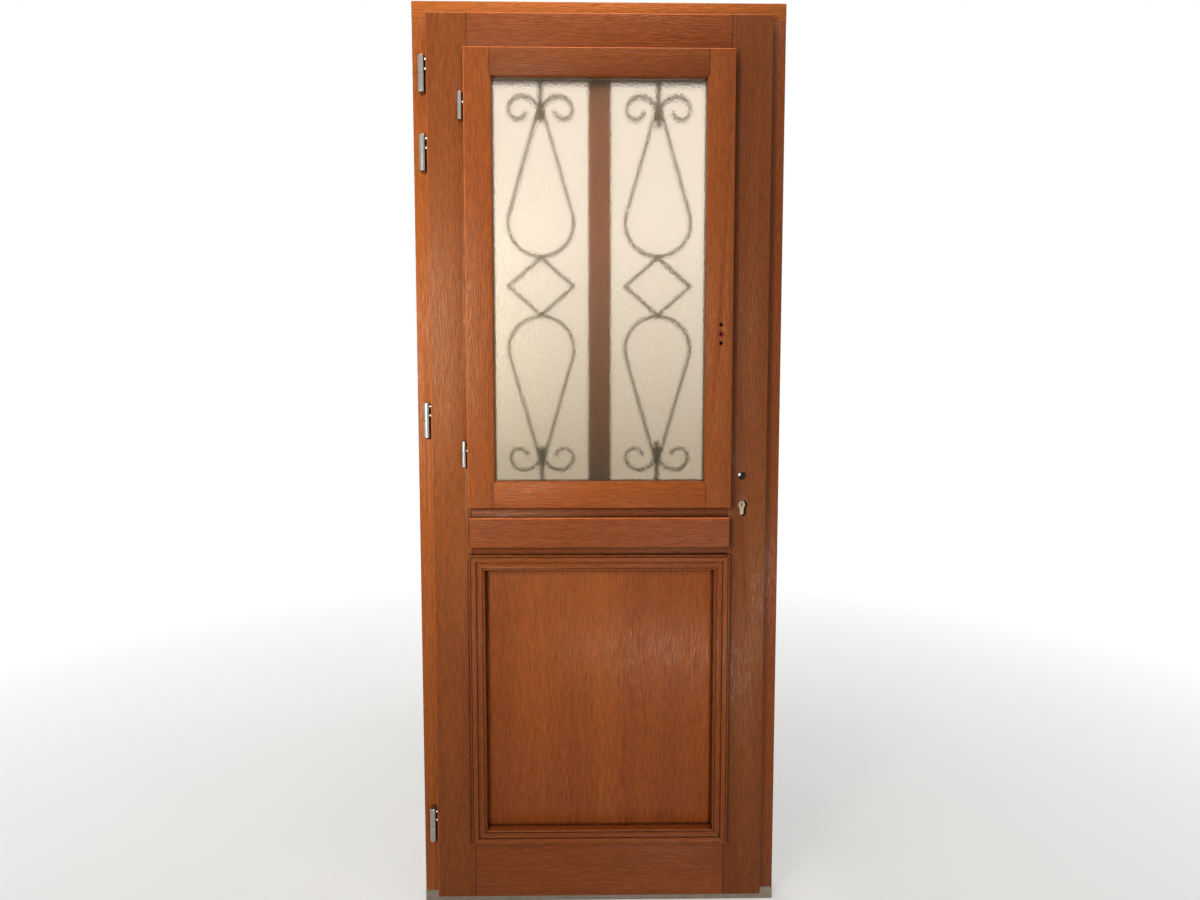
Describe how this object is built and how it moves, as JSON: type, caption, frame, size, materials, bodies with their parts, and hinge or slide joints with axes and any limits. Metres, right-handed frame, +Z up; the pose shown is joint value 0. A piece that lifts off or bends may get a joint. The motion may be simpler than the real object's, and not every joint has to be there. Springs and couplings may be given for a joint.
{
  "type": "glazed wooden front door",
  "caption": "Wooden front door in its frame: panelled leaf on barrel hinges, with an obscured glazed casement that opens inwards in front of scrolled iron grilles.",
  "frame": {"origin": "middle of the threshold's flat underside, half way through the frame's depth", "axes": "+Z up along the jambs, +X to the lock side as seen from the room, +Y out of the house"},
  "size_m": [0.868, 0.136, 2.17],
  "materials": {
    "wood": "stained hardwood with fine pores under a satin lacquer",
    "moulding_wood": "the same stained hardwood, a little darker, satin lacquer",
    "obscured_glass": "finely granular obscured glass",
    "clear_glass": "clear",
    "iron": "dull wrought iron",
    "nickel": "satin nickel plate",
    "brass": "nickelled brass, worn",
    "aluminium": "mill aluminium",
    "rubber": "matt",
    "red_plastic": "satin"
  },
  "bodies": {
    "frame": {"frame_head": "wood", "frame_hinge_jamb": "wood", "frame_lock_jamb": "wood", "threshold": "aluminium", "frame_seal": "rubber", "strike_plate": "nickel", "door_hinge_frame_half_1": "nickel", "door_hinge_frame_half_2": "nickel", "door_hinge_frame_half_3": "nickel", "door_hinge_frame_half_4": "nickel"},
    "leaf": {"leaf_hinge_stile": "wood", "leaf_lock_stile": "wood", "leaf_top_rail": "wood", "leaf_mid_rail": "wood", "leaf_bottom_rail": "wood", "mid_rail_band": "wood", "bottom_panel": "wood", "inner_moulding_left": "moulding_wood", "inner_moulding_right": "moulding_wood", "inner_moulding_top": "moulding_wood", "inner_moulding_bottom": "moulding_wood", "outer_moulding": "moulding_wood", "weather_bar": "wood", "light_frame_left": "wood", "light_frame_right": "wood", "light_frame_top": "wood", "light_frame_bottom": "wood", "light_mullion": "wood", "grille_left": "iron", "grille_right": "iron", "casement_seal": "rubber", "casement_keeps": "nickel", "lock_case": "aluminium", "lock_forend": "nickel", "cylinder_body": "brass", "door_hinge_leaf_half_1": "nickel", "door_hinge_leaf_half_2": "nickel", "door_hinge_leaf_half_3": "nickel", "door_hinge_leaf_half_4": "nickel", "casement_hinge_lower_half_1": "nickel", "casement_hinge_lower_half_2": "nickel"},
    "casement": {"casement_hinge_stile": "wood", "casement_lock_stile": "wood", "casement_top_rail": "wood", "casement_bottom_rail": "wood", "inner_pane": "obscured_glass", "outer_pane": "clear_glass", "pane_spacer": "aluminium", "glazing_beads": "wood", "window_lock_case": "aluminium", "window_lock_plate": "nickel", "casement_hinge_upper_half_1": "nickel", "casement_hinge_upper_half_2": "nickel"},
    "lever_follower": {"lock_follower": "nickel"},
    "latch": {"latch_bolt": "nickel"},
    "key_plug": {"cylinder_plug": "brass"},
    "bolt": {"dead_bolt": "nickel"},
    "handle_follower": {"window_follower": "red_plastic"},
    "bolt_rod": {"window_bolt_rod": "nickel"}
  },
  "joints": [
    {"name": "leaf_swing", "type": "hinge", "parent": "frame", "child": "leaf", "pos_m": [-0.41, -0.045, 1.1], "axis": [0, 0, -1], "range_deg": [0, 105]},
    {"name": "casement_swing", "type": "hinge", "parent": "leaf", "child": "casement", "pos_m": [-0.3195, -0.06425, 1.5235], "axis": [0, 0, -1], "range_deg": [0, 90]},
    {"name": "lever_turn", "type": "hinge", "parent": "leaf", "child": "lever_follower", "pos_m": [0.341, -0.02, 1.0717], "axis": [0, 1, 0], "range_deg": [0, 35]},
    {"name": "latch_slide", "type": "slide", "parent": "leaf", "child": "latch", "axis": [1, 0, 0], "range_m": [0, 0.012]},
    {"name": "key_turn", "type": "hinge", "parent": "leaf", "child": "key_plug", "pos_m": [0.341, -0.02, 1.0017], "axis": [0, 1, 0], "range_deg": [0, 360]},
    {"name": "bolt_slide", "type": "slide", "parent": "leaf", "child": "bolt", "axis": [1, 0, 0], "range_m": [0, 0.02]},
    {"name": "handle_turn", "type": "hinge", "parent": "casement", "child": "handle_follower", "pos_m": [0.2828, -0.04225, 1.40577], "axis": [0, 1, 0], "range_deg": [0, 90]},
    {"name": "rod_slide", "type": "slide", "parent": "casement", "child": "bolt_rod", "axis": [0, 0, 1], "range_m": [0, 0.018]}
  ],
  "couplings": [
    {"joint": "lever_turn", "follows": "latch_slide", "rad_per_m": 50.9},
    {"joint": "key_turn", "follows": "bolt_slide", "rad_per_m": 314},
    {"joint": "handle_turn", "follows": "rod_slide", "rad_per_m": 87.2}
  ]
}
